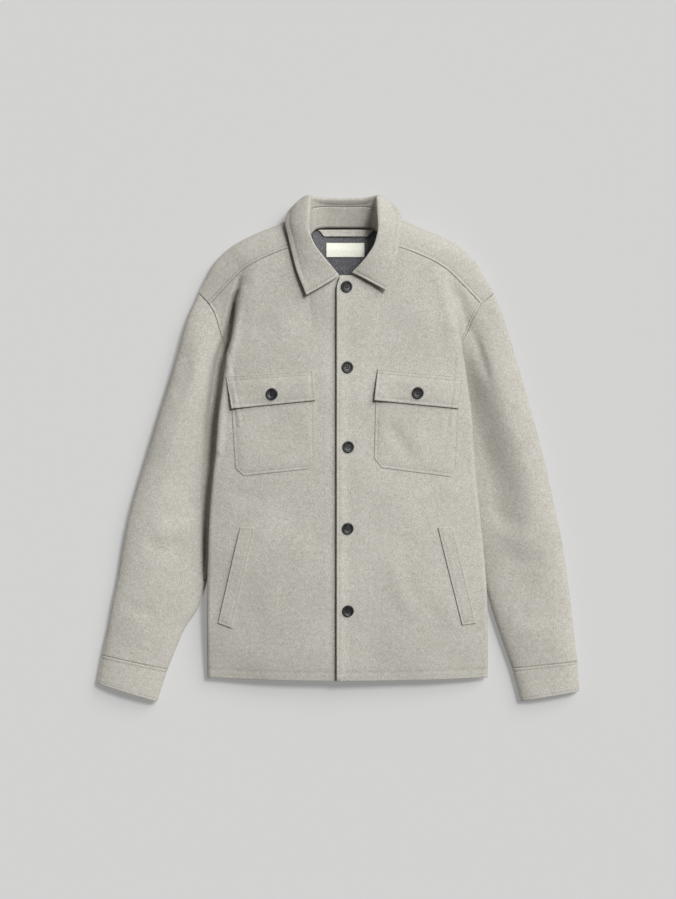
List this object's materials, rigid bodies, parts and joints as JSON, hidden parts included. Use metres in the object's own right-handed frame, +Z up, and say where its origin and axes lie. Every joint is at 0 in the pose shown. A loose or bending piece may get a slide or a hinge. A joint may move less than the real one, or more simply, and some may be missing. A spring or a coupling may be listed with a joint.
{
  "type": "shacket",
  "caption": "Men's wool shacket laid flat on its back and buttoned up, with a folded collar, chest flap pockets, slanted hand pockets and dark buttons.",
  "frame": {"origin": "on the surface the garment lies on, under the middle of its outline", "axes": "+X to the viewer's right (the wearer's left), +Y from the hem towards the collar, +Z up out of the front"},
  "size_m": [0.7753, 0.8116, 0.0721],
  "materials": {
    "wool_cloth": "brushed melange wool, matt with a soft nap",
    "jersey_lining": "dark melange knit, matt",
    "woven_label": "bare satin weave, slight sheen",
    "dark_buttons": "dark grey, semi matt, sewn through"
  },
  "bodies": {
    "root": {"back": "wool_cloth", "yoke": "wool_cloth", "front_left": "wool_cloth", "front_right": "wool_cloth", "sleeve_left": "wool_cloth", "sleeve_right": "wool_cloth", "cuff_left": "wool_cloth", "cuff_right": "wool_cloth", "chest_pocket_left": "wool_cloth", "chest_pocket_right": "wool_cloth", "flap_left": "wool_cloth", "flap_right": "wool_cloth", "welt_left": "wool_cloth", "welt_right": "wool_cloth", "collar_stand": "wool_cloth", "collar_leaf": "wool_cloth", "neck_lining": "jersey_lining", "hanger_loop": "wool_cloth", "neck_label": "woven_label", "flap_button_left": "dark_buttons", "flap_button_right": "dark_buttons", "front_button_1": "dark_buttons", "front_button_2": "dark_buttons", "front_button_3": "dark_buttons", "front_button_4": "dark_buttons", "front_button_5": "dark_buttons"}
  },
  "joints": []
}
